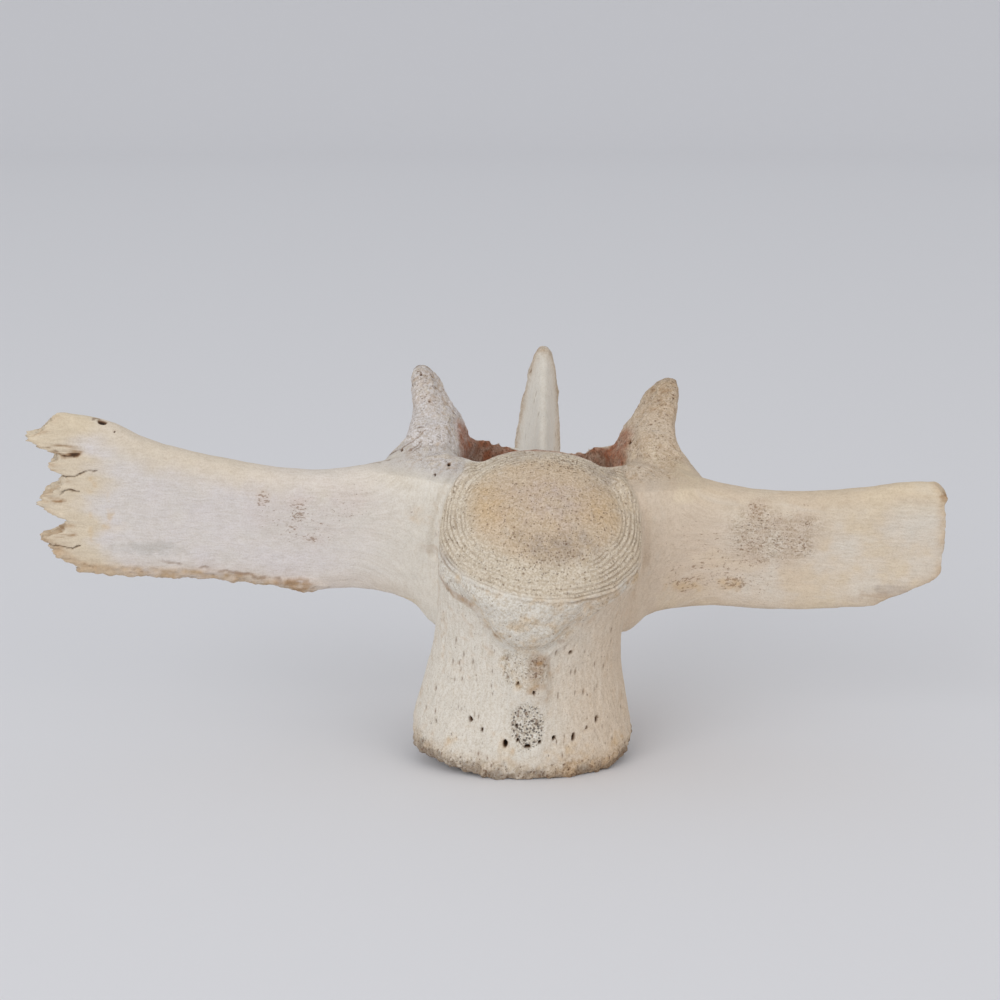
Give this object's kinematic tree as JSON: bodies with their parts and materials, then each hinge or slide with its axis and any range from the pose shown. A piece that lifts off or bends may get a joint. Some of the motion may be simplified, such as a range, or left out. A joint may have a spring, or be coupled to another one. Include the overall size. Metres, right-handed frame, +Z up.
{
  "type": "cow lumbar vertebra",
  "caption": "Dry, weathered lumbar vertebra of a cow, standing on its tail end and leaning forward, one transverse process broken off short in a jagged edge.",
  "frame": {"origin": "Centre of the bone's box at the level of the floor it stands on.", "axes": "+Z up. +X along the transverse processes towards the animal's left, which is the right of a viewer who faces the belly side. -Y towards that viewer; the spinous process points to +Y."},
  "size_m": [0.2282, 0.1442, 0.0978],
  "materials": {
    "weathered_bone": null,
    "pale_bone": "matt bleached bone, chalky cream",
    "honey_bone": "matt bone, warm cream with grey-brown pitting",
    "tan_bone": "matt porous bone, tan"
  },
  "bodies": {
    "root": {"vertebral_body": "weathered_bone", "neural_arch": "weathered_bone", "spinous_process": "weathered_bone", "right_transverse_process": "pale_bone", "left_transverse_process": "honey_bone", "right_cranial_articular_process": "tan_bone", "left_cranial_articular_process": "tan_bone", "right_caudal_articular_process": "tan_bone", "left_caudal_articular_process": "tan_bone"}
  },
  "joints": []
}
